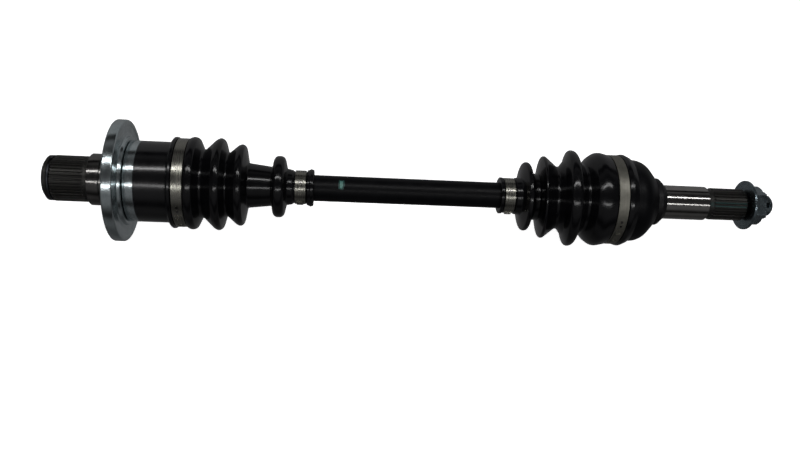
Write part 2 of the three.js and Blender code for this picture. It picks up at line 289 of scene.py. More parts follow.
def curved_track(x, pitch_radius, track_radius, steps=240):
    """How far a track curved about the joint centre reaches out at distance x from the centre."""
    furthest = pitch_radius + track_radius

    def reach(off):
        for k in range(steps):
            r = furthest * (1 - k / steps)
            along = math.hypot(x, r * math.cos(off)) - pitch_radius
            if math.hypot(along, r * math.sin(off)) <= track_radius:
                return r
        return 0

    return reach


# ---------------------------------------------------------------- meshes


class Shape:
    """Closed surfaces gathered into one mesh, in millimetres."""

    def __init__(self):
        self.points = []
        self.faces = []
        self.finishes = []

    def at(self, x, r, angle):
        self.points.append((x * MM, -r * math.sin(angle) * MM, r * math.cos(angle) * MM))
        return len(self.points) - 1

    def face(self, corners, finish):
        self.faces.append(corners)
        self.finishes.append(finish)

    def turn(self, outline, segments, finish_at=None, closed=False):
        """A solid turned about the axle. r may be a function of the angle. An outline that isn't
        closed starts and ends on the centre line."""
        angles = [2 * math.pi * i / segments for i in range(segments)]
        rings = []
        for x, r in outline:
            if callable(r):
                rings.append([self.at(x, r(a), a) for a in angles])
            elif r < 1e-6:
                rings.append([self.at(x, 0, 0)])
            else:
                rings.append([self.at(x, r, a) for a in angles])
        last = len(rings) if closed else len(rings) - 1
        for k in range(last):
            one, two = rings[k], rings[(k + 1) % len(rings)]
            (x0, r0), (x1, r1) = outline[k], outline[(k + 1) % len(rings)]
            radii = [r(0) if callable(r) else r for r in (r0, r1)]
            finish = finish_at((x0 + x1) / 2, sum(radii) / 2) if finish_at else 0
            for i in range(segments):
                j = (i + 1) % segments
                if len(one) == 1:
                    self.face([one[0], two[j], two[i]], finish)
                elif len(two) == 1:
                    self.face([one[i], one[j], two[0]], finish)
                else:
                    self.face([one[i], one[j], two[j], two[i]], finish)
        return self

    def sweep(self, section, start, end, finish=0, step=3.0):
        """A section of (x, r) points swept round the axle between two angles in degrees."""
        count = max(1, round(abs(end - start) / step))
        rings = []
        for k in range(count + 1):
            angle = math.radians(start + (end - start) * k / count)
            rings.append([self.at(x, r, angle) for x, r in section])
        size = len(section)
        for one, two in zip(rings, rings[1:]):
            for i in range(size):
                j = (i + 1) % size
                self.face([one[i], one[j], two[j], two[i]], finish)
        self.face(list(reversed(rings[0])), finish)
        self.face(rings[-1], finish)
        return self

    def made(self, name, finishes, smooth_below=SMOOTH_BELOW):
        """The shape as an object, shaded smooth except at its sharp edges."""
        mesh = bpy.data.meshes.new(name)
        mesh.from_pydata(self.points, [], self.faces)
        mesh.polygons.foreach_set("material_index", self.finishes)
        work = bmesh.new()
        work.from_mesh(mesh)
        bmesh.ops.recalc_face_normals(work, faces=work.faces)
        work.to_mesh(mesh)
        work.free()
        made = bpy.data.objects.new(name, mesh)
        bpy.context.scene.collection.objects.link(made)
        for finish in finishes:
            mesh.materials.append(finish)
        smooth(mesh, smooth_below)
        return made


def smooth(mesh, below=SMOOTH_BELOW):
    """Shades a mesh smooth, except across edges sharper than an angle."""
    mesh.polygons.foreach_set("use_smooth", [True] * len(mesh.polygons))
    mesh.set_sharp_from_angle(angle=below)
    mesh.update()


def slab(x0, x1, r0, r1, edge=0.15):
    """A flat strip's section, with its outer edges broken."""
    return [
        (x0, r0),
        (x0, r1 - edge),
        (x0 + edge, r1),
        (x1 - edge, r1),
        (x1, r1 - edge),
        (x1, r0),
    ]


def apply_modifiers(piece):
    """Replaces a piece's mesh with what its modifiers make of it."""
    graph = bpy.context.evaluated_depsgraph_get()
    made = bpy.data.meshes.new_from_object(piece.evaluated_get(graph))
    piece.modifiers.clear()
    piece.data = made


def cut(piece, cutter):
    """Takes a cutter out of a piece, and removes the cutter."""
    modifier = piece.modifiers.new("cut", "BOOLEAN")
    modifier.operation = "DIFFERENCE"
    modifier.solver = "EXACT"
    modifier.object = cutter
    apply_modifiers(piece)
    bpy.data.objects.remove(cutter)


def rod(name, length, radius, sides):
    """A straight rod along Z through the origin, in millimetres, to cut with."""
    work = bmesh.new()
    bmesh.ops.create_cone(
        work,
        cap_ends=True,
        segments=sides,
        radius1=radius * MM,
        radius2=radius * MM,
        depth=length * MM,
    )
    mesh = bpy.data.meshes.new(name)
    work.to_mesh(mesh)
    work.free()
    made = bpy.data.objects.new(name, mesh)
    bpy.context.scene.collection.objects.link(made)
    return made


def split_at(piece, name, x):
    """Cuts a turned tube at x into two closed pieces. The piece keeps the part before x, and a new
    one is named and returned."""
    other = piece.copy()
    other.data = piece.data.copy()
    other.name = name
    other.data.name = name
    bpy.context.scene.collection.objects.link(other)
    for half, side in ((piece, 1), (other, -1)):
        work = bmesh.new()
        work.from_mesh(half.data)
        geometry = [*work.verts, *work.edges, *work.faces]
        parted = bmesh.ops.bisect_plane(
            work,
            geom=geometry,
            plane_co=(x * MM, 0, 0),
            plane_no=(side, 0, 0),
            clear_outer=True,
        )
        rims = [e for e in parted["geom_cut"] if isinstance(e, bmesh.types.BMEdge)]
        bmesh.ops.bridge_loops(work, edges=rims)
        bmesh.ops.recalc_face_normals(work, faces=work.faces)
        work.to_mesh(half.data)
        work.free()
        smooth(half.data)
    return other


# ---------------------------------------------------------------- finishes


def add(tree, kind, inputs=None, stops=None, **settings):
    """Adds a node with its settings. An input is a value, or the output that it is linked from."""
    made = tree.nodes.new(kind)
    for name, value in settings.items():
        setattr(made, name, value)
    for key, value in (inputs or {}).items():
        if isinstance(value, bpy.types.NodeSocket):
            tree.links.new(value, made.inputs[key])
        else:
            made.inputs[key].default_value = value
    if stops:
        ramp = made.color_ramp.elements
        while len(ramp) < len(stops):
            ramp.new(1.0)
        for element, (position, colour) in zip(ramp, stops):
            element.position = position
            element.color = colour
    return made


class Finish:
    """A material under construction: its tree, its shader and the coordinates of a turned piece."""

    def __init__(self, name, **shader):
        self.material = bpy.data.materials.new(name)
        self.material.use_nodes = True
        self.tree = self.material.node_tree
        self.shader = self.tree.nodes["Principled BSDF"]
        for socket, value in shader.items():
            self.shader.inputs[socket.replace("_", " ")].default_value = value
        place = add(self.tree, "ShaderNodeTexCoord")
        self.place = place.outputs["Object"]
        parts = add(self.tree, "ShaderNodeSeparateXYZ", {0: self.place})
        self.x, self.y, self.z = (parts.outputs[axis] for axis in "XYZ")

    def maths(self, operation, *values):
        inputs = dict(enumerate(values))
        return add(self.tree, "ShaderNodeMath", inputs, operation=operation).outputs[0]

    def radius(self):
        z_squared = self.maths("POWER", self.z, 2.0)
        return self.maths("SQRT", self.maths("MULTIPLY_ADD", self.y, self.y, z_squared))

    def lathe_lines(self, pitch, detail=2.0):
        """Noise that changes along x on a barrel and along r on a face, as a lathe's cut does."""
        along = self.maths("ADD", self.x, self.radius())
        lines = add(
            self.tree,
            "ShaderNodeTexNoise",
            {"W": along, "Scale": 1 / (pitch * MM), "Detail": detail},
            noise_dimensions="1D",
        )
        return lines.outputs["Fac"]

    def mottle(self, size, detail=3.0):
        """Noise in space, with patches of about a size in millimetres."""
        inputs = {"Vector": self.place, "Scale": 1 / (size * MM), "Detail": detail}
        return add(self.tree, "ShaderNodeTexNoise", inputs).outputs["Fac"]

    def remap(self, value, low, high, to_low, to_high):
        inputs = {0: value, 1: low, 2: high, 3: to_low, 4: to_high}
        return add(self.tree, "ShaderNodeMapRange", inputs).outputs[0]

    def colour(self, factor, dark, light):
        inputs = {0: factor, 6: dark, 7: light}
        return add(self.tree, "ShaderNodeMix", inputs, data_type="RGBA").outputs[2]

    def set(self, socket, value):
        self.tree.links.new(value, self.shader.inputs[socket])

    def bump(self, height, depth):
        """Raises the surface by a height from 0 to 1 times a depth in millimetres."""
        inputs = {"Height": height, "Distance": depth * MM, "Strength": 1.0}
        self.set("Normal", add(self.tree, "ShaderNodeBump", inputs).outputs[0])


def painted_steel(name, colour, rough, peel, shine):
    """Solvent paint sprayed on forged steel: near black, with an orange peel that breaks the edges
    of each reflection, and patches a little paler and duller than the rest."""
    made = Finish(name, Metallic=0.0, IOR=1.5, Specular_IOR_Level=shine)
    patches = made.mottle(14.0)
    worn = made.remap(patches, 0.35, 0.75, 0.0, 1.0)
    lighter = tuple(min(1.0, c * 1.5 + 0.0004) for c in colour[:3])
    made.set("Base Color", made.colour(worn, tuple(colour), (*lighter, 1.0)))
    made.set("Roughness", made.remap(patches, 0.3, 0.7, rough * 0.85, rough * 1.2))
    # Orange peel is about 1 mm from crest to crest; it is drawn at 1.6 mm so that it shows.
    made.bump(made.mottle(1.6), peel)
    return made.material


def phosphated_steel(tooth_end):
    """Manganese phosphate on cut steel, oiled: a dark warm grey that drinks light, with a trace of
    marking paint on the tops of the outboard teeth."""
    made = Finish("manganese_phosphated_steel", Metallic=0.85)
    grain = made.mottle(1.1, 4.0)
    base = made.colour(grain, srgb("#282827"), srgb("#403F3D"))
    tips = made.remap(made.radius(), 15.2 * MM, 16.4 * MM, 0.0, 1.0)
    outboard = made.maths("GREATER_THAN", made.x, tooth_end * MM)
    turn = made.maths("ARCTAN2", made.maths("MULTIPLY", made.y, -1.0), made.z)
    near = made.maths("ABSOLUTE", made.maths("SUBTRACT", turn, math.radians(FACING + 4)))
    streak = made.remap(near, 0.06, 0.22, 0.3, 0.0)
    trace = made.maths("MULTIPLY", made.maths("MULTIPLY", tips, outboard), streak)
    made.set("Base Color", made.colour(trace, base, srgb("#1B6B6A")))
    made.set("Roughness", made.remap(grain, 0.3, 0.7, 0.36, 0.52))
    made.bump(grain, 0.03)
    return made.material


def turned_steel(name, dark, light, rough, pitch, depth, Metallic=1.0):
    """Steel off the lathe: a bright metal whose highlights spread across fine rings of tool marks."""
    made = Finish(name, Metallic=Metallic)
    lines = made.lathe_lines(pitch)
    patches = made.mottle(9.0)
    mixed = made.maths("MULTIPLY_ADD", lines, 0.45, made.maths("MULTIPLY", patches, 0.55))
    shade = made.remap(mixed, 0.3, 0.7, 0.0, 1.0)
    made.set("Base Color", made.colour(shade, srgb(dark), srgb(light)))
    made.set("Roughness", made.remap(mixed, 0.3, 0.7, rough * 0.8, rough * 1.25))
    made.bump(lines, depth)
    return made.material


def stainless_strap(name, dark, light, rough):
    """Rolled stainless strip: warm silver, with long fine scratches along the strap that stretch
    each highlight across it. A darker, rougher copy of it carries painted shade, for a strap that less
    light reaches."""
    made = Finish(name, Metallic=1.0)
    turn = made.maths("ARCTAN2", made.y, made.z)
    # Rolling scratches are under 0.1 mm apart; they are drawn 0.7 mm apart so that they show.
    place = add(made.tree, "ShaderNodeCombineXYZ", {0: made.x, 1: made.maths("MULTIPLY", turn, 0.6 * MM)})
    lines = add(
        made.tree,
        "ShaderNodeTexNoise",
        {"Vector": place.outputs[0], "Scale": 1 / (0.7 * MM), "Detail": 3.0},
    ).outputs["Fac"]
    patches = made.mottle(6.0)
    made.set("Base Color", made.colour(patches, srgb(dark), srgb(light)))
    made.set("Roughness", made.remap(lines, 0.3, 0.7, rough * 0.75, rough * 1.25))
    made.bump(lines, 0.003)
    return made.material


def moulded_rubber(name, colour, rough, shine):
    """Moulded rubber: deep black with a shine from the mould's polish, sharp on the boots and dull
    on the hard collar, a faint grey bloom in patches and a skin of very fine grain."""
    made = Finish(name, Metallic=0.0, IOR=1.52, Specular_IOR_Level=shine)
    bloom = made.remap(made.mottle(11.0), 0.45, 0.75, 0.0, 1.0)
    lighter = tuple(min(1.0, c * 1.6 + 0.0005) for c in colour[:3])
    made.set("Base Color", made.colour(bloom, tuple(colour), (*lighter, 1.0)))
    grain = made.mottle(0.9, 4.0)
    made.set("Roughness", made.remap(made.mottle(5.0), 0.3, 0.7, rough * 0.85, rough * 1.25))
    made.bump(grain, 0.012)
    return made.material


def marking_paint(name, colour):
    """Brushed marking paint: chalky, with strokes from full colour to about half of it."""
    made = Finish(name, Roughness=0.5)
    strokes = made.mottle(1.3)
    dark = tuple(c * 0.55 for c in colour[:3])
    shade = made.remap(strokes, 0.35, 0.6, 0.0, 1.0)
    made.set("Base Color", made.colour(shade, (*dark, 1.0), (*colour[:3], 1.0)))
    made.bump(strokes, 0.03)
    return made.material


class Finishes:
    """Every finish of the axle, made once."""

    made = {}

    @classmethod
    def get(cls, name):
        if not cls.made:
            cls.made = cls.make(bpy.context.scene.cv_axle_colours)
        return cls.made[name]

    @staticmethod
    def make(colours):
        return {
            "gloss_paint": painted_steel("gloss_black_paint_on_steel", colours.paint, 0.19, 0.012, 0.5),
            "satin_paint": painted_steel("satin_black_paint_on_steel", colours.paint, 0.38, 0.012, 0.11),
            "phosphate": phosphated_steel(INBOARD_CENTRE),
            "dark_steel": turned_steel("oiled_turned_steel", "#5D5B5A", "#787674", 0.17, 0.5, 0.003),
            "zinc": turned_steel("bright_zinc_on_turned_steel", "#A3ADAF", "#C8D1D3", 0.17, 0.45, 0.004),
            "ground": turned_steel("ground_steel_journal", "#7E7C7A", "#949290", 0.13, 0.3, 0.0003),
            "dark_zinc": turned_steel("dark_zinc_on_pressed_steel", "#5A656B", "#8B979C", 0.26, 0.6, 0.006),
            "bearing": turned_steel("lapped_bearing_steel", "#B4B6BA", "#D0D2D6", 0.08, 3.0, 0.0005),
            "hardened": turned_steel("hardened_ground_steel", "#5E5A55", "#8C8881", 0.3, 0.6, 0.008),
            "spring": turned_steel("blued_spring_steel", "#26282C", "#4A4C50", 0.38, 0.8, 0.01, 0.9),
            "strap": stainless_strap("cold_rolled_stainless_strap", "#75746D", "#98968E", 0.26),
            # painted shade: the same strap, darker and rougher, for the clamp that less light reaches
            "dull_strap": stainless_strap("pickled_stainless_strap", "#696860", "#8A8880", 0.5),
            "rubber": moulded_rubber("moulded_chloroprene_rubber", colours.rubber, 0.16, 0.32),
            "collar": moulded_rubber("moulded_hard_rubber", colours.rubber, 0.5, 0.25),
            "mark": marking_paint("thick_marking_paint", colours.mark),
            "mark_edge": marking_paint("thin_marking_paint", colours.mark_edge),
        }


def finish_piece(piece, body, slot, *nodes):
    """A rigid piece rides on a CAD body and stands for CAD nodes, which it hides. The slot is not used."""
    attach(piece, body)
    if nodes:
        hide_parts(*nodes)


# ---------------------------------------------------------------- inboard end


class CVAXLE_OT_stub_forging(bpy.types.Operator):
    """Build the inboard forging: splined stub, neck, and the cup that the balls run in"""

    bl_idname = "cv_axle.stub_forging"
    bl_label = "Inboard forging"

    def execute(self, context):
        sizes = context.scene.cv_axle_sizes
        tip = 22.4
        root = tip - sizes.tooth_depth / MM
        spline = teeth(sizes.inboard_teeth, tip, root)
        run_out = teeth(sizes.inboard_teeth, tip, tip - 0.5)
        clip_x, clip_end, _ = span("stub_circlip")
        stop_x, stop_end, _ = span("stop_ring")
        bore_r = 29.0
        track = straight_track(26.0, 8.5)
        bore = lobed(bore_r, track)
        stub = [
            (HOUSING_X + 3.4, 0),
            (HOUSING_X + 2.2, 2.4),
            (HOUSING_X, 4.4),
            (HOUSING_X, 17.2),
            (HOUSING_X + 0.5, 18.4),
            (HOUSING_X + 1.3, 19.3),
            (HOUSING_X + 2.6, 21.4),
            (HOUSING_X + 3.3, 22.0),
            (clip_x - 0.6, 22.1),
            (clip_x - 0.3, 21.7),
            (clip_x - 0.25, 19.8),
            (clip_end + 0.35, 19.8),
            (clip_end + 0.4, root),
            (clip_end + 1.6, spline),
            (36.5, spline),
            (39.5, run_out),
            (40.6, 22.0),
        ]
        body = rounded(
            [
                (40.6, 22.0),
                (42.6, 21.4, 0.8),
                (43.6, 25.4, 0.8),
                (55.0, 25.4, 0.4),
                (55.2, 23.8, 0.3),
                (57.3, 23.8, 0.3),
                (57.5, 25.6, 0.5),
                (61.2, 25.6, 1.2),
                (62.6, 31.0, 1.5),
                (68.0, 35.9, 1.0),
                (80.7, 35.9, 0.4),
                (81.3, CUP_R, 0.6),
                (90.7, CUP_R, 0.15),
                (90.9, CUP_R - 0.35, 0.1),
                (91.4, CUP_R - 0.35, 0.1),
                (91.8, CUP_R - 0.05, 0.3),
                (HOUSING_END, CUP_R - 0.05, 0.8),
                (HOUSING_END, 34.4),
            ],
            steps=4,
        )
        inside = [
            (stop_end + 0.3, lobed(30.2, track)),
            (stop_end + 0.3, lobed(31.6, track)),
            (stop_x - 0.3, lobed(31.6, track)),
            (stop_x - 0.3, bore),
            (84.0, bore),
            (84.0, bore_r),
            (80.5, bore_r),
            (77.5, 23.0),
            (77.5, 0),
        ]

        def finish_at(x, r):
            if x < 44:
                return 0
            if x < 56.5:
                return 1
            if x < 64:
                return 2
            if r > CUP_R - 4.2 and x < 91:
                return 2
            return 3 if r > CUP_R - 5 else 4

        shape = Shape().turn(stub + body[1:] + inside, 6 * sizes.inboard_teeth, finish_at)
        names = ("phosphate", "dark_steel", "zinc", "gloss_paint", "hardened")
        piece = shape.made("inboard_forging", [Finishes.get(n) for n in names])
        finish_piece(piece, "inboard_housing", "black_paint", "inboard_housing")
        return {"FINISHED"}


class CVAXLE_OT_deflector_flange(bpy.types.Operator):
    """Build the turned flange pressed on behind the cup"""

    bl_idname = "cv_axle.deflector_flange"
    bl_label = "Deflector flange"

    def execute(self, context):
        bore = 36.1
        rim_x = FLANGE_END - 3.3
        outline = rounded(
            [
                (FLANGE_X, bore),
                (FLANGE_X, 46.0, 0.3),
                (FLANGE_X + 0.5, 46.6, 0.3),
                (FLANGE_X + 0.5, 52.0, 0.3),
                (FLANGE_X, 52.6, 0.3),
                (FLANGE_X, FLANGE_R, 1.6),
                (rim_x, FLANGE_R, 1.9),
                (rim_x, 54.6, 0.3),
                (rim_x - 0.5, 54.0, 0.3),
                (rim_x - 0.5, 47.2, 0.6),
                (rim_x, 45.6, 0.4),
                (rim_x + 0.3, 43.9, 0.5),
                (FLANGE_END - 0.2, 43.2, 0.8),
                (FLANGE_END, 40.6, 0.5),
                (FLANGE_END, bore),
            ]
        )
        turned = Shape().turn(outline, 192, closed=True)
        piece = turned.made("deflector_flange_turned", [Finishes.get("zinc")])
        finish_piece(piece, "inboard_housing", "bright_zinc", "deflector_flange")
        return {"FINISHED"}


class CVAXLE_OT_snap_rings(bpy.types.Operator):
    """Build the open spring-steel rings: on the stub, in the cup's mouth, and on the bar's ends"""

    bl_idname = "cv_axle.snap_rings"
    bl_label = "Snap rings"

    def execute(self, context):
        rings = [
            ("stub_circlip", "inboard_housing", 20.4, 22.1, 24),
            ("stop_ring", "inboard_housing", 27.9, 31.2, 16),
            ("inboard_race_circlip", "shaft", 11.4, 15.1, 40),
            ("outboard_race_circlip", "shaft", 11.4, 15.1, 40),
        ]
        for node, body, inner, outer, gap in rings:
            x0, x1, _ = span(node)
            shape = Shape().sweep(slab(x0, x1, inner, outer), gap / 2, 360 - gap / 2)
            piece = shape.made(node + "_sprung", [Finishes.get("spring")])
            finish_piece(piece, body, "spring_steel", node)
        return {"FINISHED"}


# ---------------------------------------------------------------- boots

INBOARD_BOOT_OUTSIDE = [
    (121.4, 40.2),
    (121.4, 43.4, 1.1),
    (122.9, 45.2, 1.6),
    (125.6, 45.0, 0.9),
    (126.2, 42.8, 0.4),
    (137.3, 42.8, 0.4),
    (137.9, 44.9, 1.4),
    (141.4, 46.0, 4.5),
    (145.2, 44.9, 3.2),
    (150.9, 32.4, 2.4),
    (162.6, 43.8, 4.0),
    (166.8, 46.2, 4.5),
    (170.3, 44.2, 2.8),
    (174.2, 30.6, 1.7),
    (184.0, 39.2, 4.0),
    (187.8, 41.0, 4.5),
    (190.9, 39.0, 2.6),
    (194.3, 22.4, 2.2),
    (217.6, 19.6, 1.3),
    (219.8, 30.8, 5.0),
    (229.6, 30.6, 5.0),
    (232.6, 18.2, 1.4),
    (237.8, 17.3, 0.7),
    (239.7, 15.9, 0.4),
    (251.8, 15.9, 0.4),
    (252.8, 17.7, 0.8),
    (254.4, 18.0, 0.8),
    (256.0, 18.9, 0.8),
    (259.0, 18.0, 1.1),
    (259.0, 13.4),
]
INBOARD_BOOT_INSIDE = [
    (234.0, 13.4, 1.0),
    (229.0, 26.4, 2.0),
    (221.0, 27.4, 2.0),
    (216.5, 17.2, 1.0),
    (193.0, 19.8, 1.5),
    (189.0, 37.4, 1.5),
    (185.6, 37.2, 1.5),
    (174.4, 28.8, 2.5),
    (168.8, 42.3, 1.5),
    (164.2, 42.4, 1.5),
    (150.8, 30.0, 3.0),
    (143.6, 40.2, 1.5),
    (121.4, 40.2),
]
OUTBOARD_BOOT_OUTSIDE = [
    (446.7, 13.4),
    (446.7, 18.5, 0.9),
    (449.7, 18.5, 0.7),
    (450.3, 16.9, 0.4),
    (461.8, 16.9, 0.4),
    (462.8, 18.6, 0.8),
    (468.4, 19.2, 1.5),
    (471.4, 35.0, 2.2),
    (475.6, 35.2, 2.2),
    (479.6, 23.8, 1.9),
    (486.2, 23.8, 1.9),
    (489.9, 42.0, 2.0),
    (493.3, 41.8, 2.6),
    (507.0, 30.8, 2.6),
    (512.8, 38.4, 6.0),
    (516.8, 49.3, 4.0),
    (522.6, 49.1, 4.0),
    (527.0, 38.2, 6.0),
    (531.6, 34.8, 2.6),
    (538.4, 43.4, 3.0),
    (545.6, 48.6, 13.0),
    (556.9, 46.0, 1.0),
    (557.4, 44.9, 0.4),
    (568.4, 44.9, 0.4),
    (569.0, 46.3, 0.7),
    (572.4, 47.3, 3.4),
    (578.5, 44.4, 0.9),
    (578.5, 42.6),
]
OUTBOARD_BOOT_INSIDE = [
    (555.0, 42.6, 1.0),
    (549.0, 45.0, 2.0),
    (541.8, 43.6, 3.0),
    (531.6, 32.4, 3.0),
    (524.0, 39.4, 2.0),
    (521.0, 45.4, 1.5),
    (519.4, 45.4, 1.5),
    (515.4, 37.6, 2.0),
    (507.0, 28.2, 3.0),
    (493.6, 38.2, 1.0),
    (492.2, 38.2, 1.0),
    (488.4, 21.6, 2.0),
    (478.4, 21.6, 2.0),
    (474.0, 31.6, 1.0),
    (473.0, 31.6, 1.0),
    (469.8, 13.4, 1.0),
    (446.7, 13.4),
]


def boot(name, outside, inside):
    """A boot moulded in one piece, as a closed tube of rubber."""
    outline = rounded(outside + inside)
    shape = Shape().turn(outline[:-1], BOOT_SEGMENTS, closed=True)
    return shape.made(name, [Finishes.get("rubber")], math.radians(35))


def lean(piece, middle, half, most):
    """Leans a boot's folds round a place on the axle, so that their near sides lie towards -X."""
    for vertex in piece.data.vertices:
        share = (vertex.co.x / MM - middle) / half
        if abs(share) < 1:
            near = (vertex.co.z - vertex.co.y) * math.sqrt(0.5)
            vertex.co.x -= most * (1 - share**2) ** 2 * near
    smooth(piece.data)


class CVAXLE_OT_inboard_boot(bpy.types.Operator):
    """Build the inboard boot in two pieces, its folds and its cone"""

    bl_idname = "cv_axle.inboard_boot"
    bl_label = "Inboard boot"

    def execute(self, context):
        split = 166.8
        folds = boot("inboard_boot_folds", INBOARD_BOOT_OUTSIDE, INBOARD_BOOT_INSIDE)
        cone = split_at(folds, "inboard_boot_cone", split)
        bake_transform(folds)
        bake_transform(cone)
        for piece in (folds, cone):
            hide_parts("inboard_boot")
        return {"FINISHED"}


class CVAXLE_OT_outboard_boot(bpy.types.Operator):
    """Build the outboard boot in two pieces: its small end, whose folds lean, and its large end"""

    bl_idname = "cv_axle.outboard_boot"
    bl_label = "Outboard boot"

    def execute(self, context):
        split = 531.6
        small = boot("outboard_boot_small_end", OUTBOARD_BOOT_OUTSIDE, OUTBOARD_BOOT_INSIDE)
        large = split_at(small, "outboard_boot_large_end", split)
        folds_middle, folds_half, most_lean = 504.5, 26.5, 0.19
        lean(small, folds_middle, folds_half, most_lean)
        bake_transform(small)
        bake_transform(large)
        for piece in (small, large):
            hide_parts("outboard_boot")
        return {"FINISHED"}


# ---------------------------------------------------------------- clamps


def large_clamp(name, x0, x1, inner, lock, gauge, strap):
    """A low-profile clamp: the strap's outer layer ends in a step, past a hook in a window."""
    shape = Shape().turn(slab(x0, x1, inner, inner + gauge), RING_SEGMENTS, closed=True)
    top = inner + 2 * gauge
    shape.sweep(slab(x0 + 0.05, x1 - 0.05, inner + gauge * 0.9, top), lock - 14, lock - 274)
    middle = (x0 + x1) / 2
    mm_deg = math.degrees(1 / top)
    plate = slab(middle - 3.2, middle + 3.2, top - 0.3, top + 0.35)
    shape.sweep(plate, lock - 13 * mm_deg, lock + 11 * mm_deg)
    hook = slab(middle - 2.3, middle + 2.3, top, top + 1.0, 0.35)
    for off in (-8, 4):
        start = lock + off * mm_deg
        shape.sweep(hook, start, start + 2.6 * mm_deg, 0, 1.0)
    window = slab(middle - 1.1, middle + 1.1, top - 0.1, top + 0.2, 0.05)
    for off in (-24, -19):
        start = lock + off * mm_deg
        shape.sweep(window, start, start + 2.6 * mm_deg, 1, 1.0)
    return shape.made(name, [Finishes.get(strap), Finishes.get("dark_steel")])


def small_clamp(name, x0, x1, inner, lock, gauge, strap):
    """A narrow clamp: a window plate with four cross bars faces out, and a folded bump closes it."""
    shape = Shape().turn(slab(x0, x1, inner, inner + gauge), RING_SEGMENTS, closed=True)
    top = inner + 2 * gauge
    shape.sweep(slab(x0 + 0.05, x1 - 0.05, inner + gauge * 0.9, top), lock - 6, lock - 240)
    mm_deg = math.degrees(1 / top)
    middle = (x0 + x1) / 2
    for side in (-1, 1):
        rail = middle + side * 2.5
        shape.sweep(slab(rail - 0.5, rail + 0.5, top - 0.1, top + 0.45), FACING - 21, FACING + 30)
    bar = slab(middle - 2.6, middle + 2.6, top - 0.1, top + 0.45)
    for off in (-7.2, -2.6, 2.4, 7.6):
        start = FACING + off * mm_deg
        shape.sweep(bar, start, start + 1.1 * mm_deg, 0, 1.0)
    window = slab(middle - 1.7, middle + 1.7, top - 0.2, top + 0.12, 0.05)
    shape.sweep(window, FACING - 5.4 * mm_deg, FACING - 3.2 * mm_deg, 1, 1.0)
    fold = slab(middle - 3.4, middle + 3.4, top - 0.3, top + 1.05, 0.5)
    shape.sweep(fold, lock - 2.6 * mm_deg, lock + 2.6 * mm_deg, 0, 2.0)
    return shape.made(name, [Finishes.get(strap), Finishes.get("dark_steel")])


class CVAXLE_OT_boot_clamps(bpy.types.Operator):
    """Build the four steel clamps that hold the boots"""

    bl_idname = "cv_axle.boot_clamps"
    bl_label = "Boot clamps"

    def execute(self, context):
        gauge = context.scene.cv_axle_sizes.strap_gauge / MM
        clamps = [
            ("inboard_large_clamp", "inboard_housing", large_clamp, 43.1, 110, "strap"),
            ("inboard_small_clamp", "shaft", small_clamp, 16.2, 112, "strap"),
            ("outboard_small_clamp", "shaft", small_clamp, 17.2, 122, "strap"),
            # the outboard large clamp is the same strap with painted shade: darker, as less light falls on
            # it
            ("outboard_large_clamp", "outboard_bell", large_clamp, 45.2, 104, "dull_strap"),
        ]
        for node, body, make, inner, lock, strap in clamps:
            x0, x1, _ = span(node)
            piece = make(node + "_strap", x0, x1, inner, lock, gauge, strap)
            finish_piece(piece, body, "stainless_band", node)
        return {"FINISHED"}


# ---------------------------------------------------------------- the bar


class CVAXLE_OT_axle_bar(bpy.types.Operator):
    """Build the painted bar with its splined ends, and the paint mark on it"""

    bl_idname = "cv_axle.axle_bar"
    bl_label = "Bar"

    def execute(self, context):
        sizes = context.scene.cv_axle_sizes
        left_clip, left_clip_end, _ = span("inboard_race_circlip")
        right_clip, right_clip_end, _ = span("outboard_race_circlip")
        left = span("inboard_inner_race")[1] + 0.3
        right = span("outboard_inner_race")[0] - 0.3
        spline = teeth(18, 12.6, 11.6)
        outline = [
            (BAR_X, 0),
            (BAR_X, 10.6),
            (BAR_X + 0.8, 11.4),
            (BAR_X + 1.6, spline),
            (left_clip - 0.3, spline),
            (left_clip - 0.3, 11.0),
            (left_clip_end + 0.2, 11.0),
            (left_clip_end + 0.2, spline),
            (left, spline),
            (left, 12.2),
            (left + 1.0, BAR_R),
            (right - 1.0, BAR_R),
            (right, 12.2),
            (right, spline),
            (right_clip - 0.2, spline),
            (right_clip - 0.2, 11.0),
            (right_clip_end + 0.3, 11.0),
            (right_clip_end + 0.3, spline),
            (BAR_END - 1.6, spline),
            (BAR_END - 0.8, 11.4),
            (BAR_END, 10.6),
            (BAR_END, 0),
        ]
        shape = Shape().turn(outline, 144, lambda x, r: 0 if left < x < right else 1)
        bar = shape.made("axle_bar_painted", [Finishes.get("satin_paint"), Finishes.get("hardened")])
        finish_piece(bar, "shaft", "black_paint", "axle_bar")

        mark = Shape()
        middle_x = 286.2
        facing = math.radians(FACING - 17)
        pale_along, pale_across = 0.45, 0.75  # the thick middle's share of the dab
        rim, top = [], []
        for k in range(48):
            turn = 2 * math.pi * k / 48
            ragged = 1 + 0.22 * noise.noise(Vector((math.cos(turn) * 1.7, math.sin(turn) * 1.7, 4.0)))
            square = 1 / max(abs(math.cos(turn)), abs(math.sin(turn))) ** 0.6
            along = 0.5 * sizes.mark_length / MM * math.cos(turn) * ragged * square
            across = 0.5 * sizes.mark_width / MM * math.sin(turn) * ragged * square
            angle = facing + across / BAR_R
            rim.append(mark.at(middle_x + along, BAR_R + 0.05, angle))
            angle = facing + pale_across * across / BAR_R
            top.append(mark.at(middle_x + pale_along * along, BAR_R + 0.17, angle))
        centre = mark.at(middle_x, BAR_R + 0.2, facing)
        under = mark.at(middle_x, BAR_R - 0.05, facing)
        for k in range(48):
            j = (k + 1) % 48
            mark.face([rim[k], rim[j], top[j], top[k]], 1)
            mark.face([top[k], top[j], centre], 0)
            mark.face([rim[j], rim[k], under], 1)
        dab = mark.made("paint_mark", [Finishes.get("mark"), Finishes.get("mark_edge")])
        finish_piece(dab, "shaft", "paint_mark")
        return {"FINISHED"}


# ---------------------------------------------------------------- outboard end


